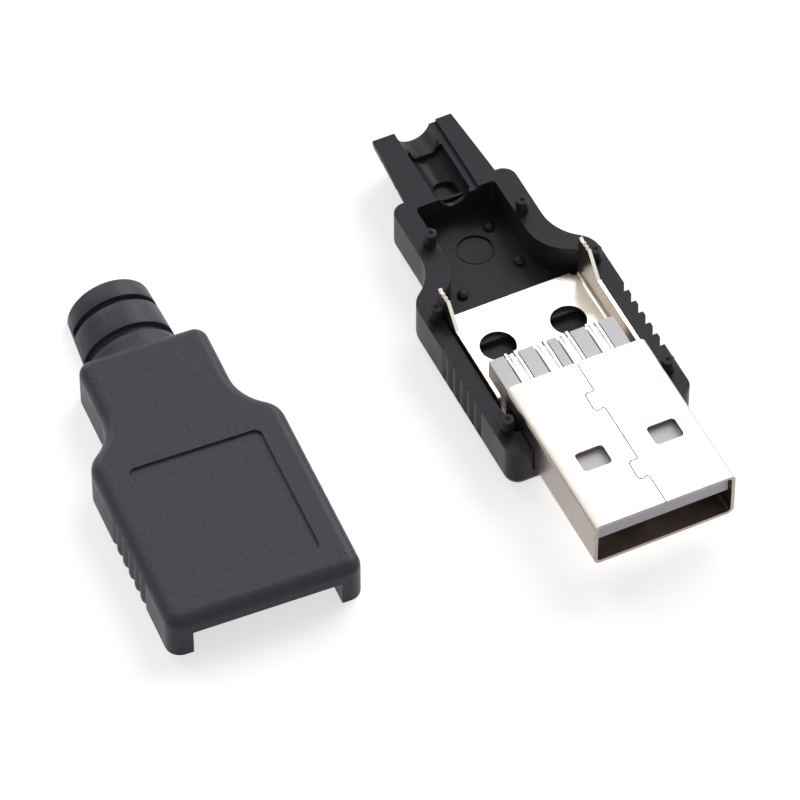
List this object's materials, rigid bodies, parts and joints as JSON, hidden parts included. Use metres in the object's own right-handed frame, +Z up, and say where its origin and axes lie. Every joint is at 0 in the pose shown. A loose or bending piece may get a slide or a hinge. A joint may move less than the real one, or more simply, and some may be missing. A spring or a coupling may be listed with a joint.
{
  "type": "usb-a plug",
  "caption": "Solder-on USB-A plug opened up: a metal plug core in its waisted base shell, with the grip-sided cover shell beside it.",
  "frame": {"origin": "centre of the base shell's flat underside, on its centreline, on the surface that both shells lie on", "axes": "+Z up from that surface with the opened base facing up, -Y the way the plug's mouth points, +Y the way the cable leaves, +X to the right with the cover shell lying on the -X side"},
  "size_m": [0.0462, 0.0446, 0.0063],
  "materials": {
    "base_plastic": "fine moulded texture, black",
    "cover_plastic": "fine moulded texture, black",
    "nickel_sheet": "nickel-plated folded sheet, warm and slightly brushed",
    "insulator_plastic": "smooth moulded grey-white",
    "contact_metal": "bright tin-plated strip"
  },
  "bodies": {
    "root": {"base_shell": "base_plastic", "cover_shell": "cover_plastic", "plug_shell": "nickel_sheet", "insulator": "insulator_plastic", "contact_supply": "contact_metal", "contact_data_minus": "contact_metal", "contact_data_plus": "contact_metal", "contact_ground": "contact_metal"}
  },
  "joints": []
}
